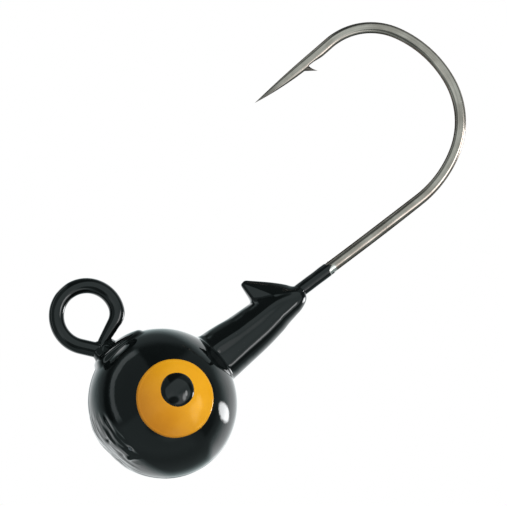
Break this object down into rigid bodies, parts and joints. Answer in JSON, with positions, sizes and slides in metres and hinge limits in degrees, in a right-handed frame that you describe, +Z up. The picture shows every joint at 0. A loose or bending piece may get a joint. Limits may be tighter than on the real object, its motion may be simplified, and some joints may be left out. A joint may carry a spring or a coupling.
{
  "type": "jig head",
  "caption": "Round lead jig head cast on a right-angle hook, gloss black with painted eyes, a line tie on top and a barbed collar that holds a soft bait.",
  "frame": {"origin": "centre of the line tie's ring, where the snap or the line holds the jig head", "axes": "+Z up the stem towards the line tie, +X back along the shank from the ball to the bend, the hook in the plane Y = 0 and the left eye on -Y"},
  "size_m": [0.0357, 0.0116, 0.0189],
  "materials": {
    "hook_wire": "polished",
    "lead": "satin",
    "black_paint": "gloss",
    "iris_paint": "gloss",
    "pupil_paint": "polished"
  },
  "bodies": {
    "root": {"hook": "hook_wire", "lead_head": "lead", "head_coat": "black_paint", "line_tie_coat": "black_paint", "shank_coat": "black_paint", "iris_left": "iris_paint", "iris_right": "iris_paint", "pupil_left": "pupil_paint", "pupil_right": "pupil_paint"}
  },
  "joints": []
}
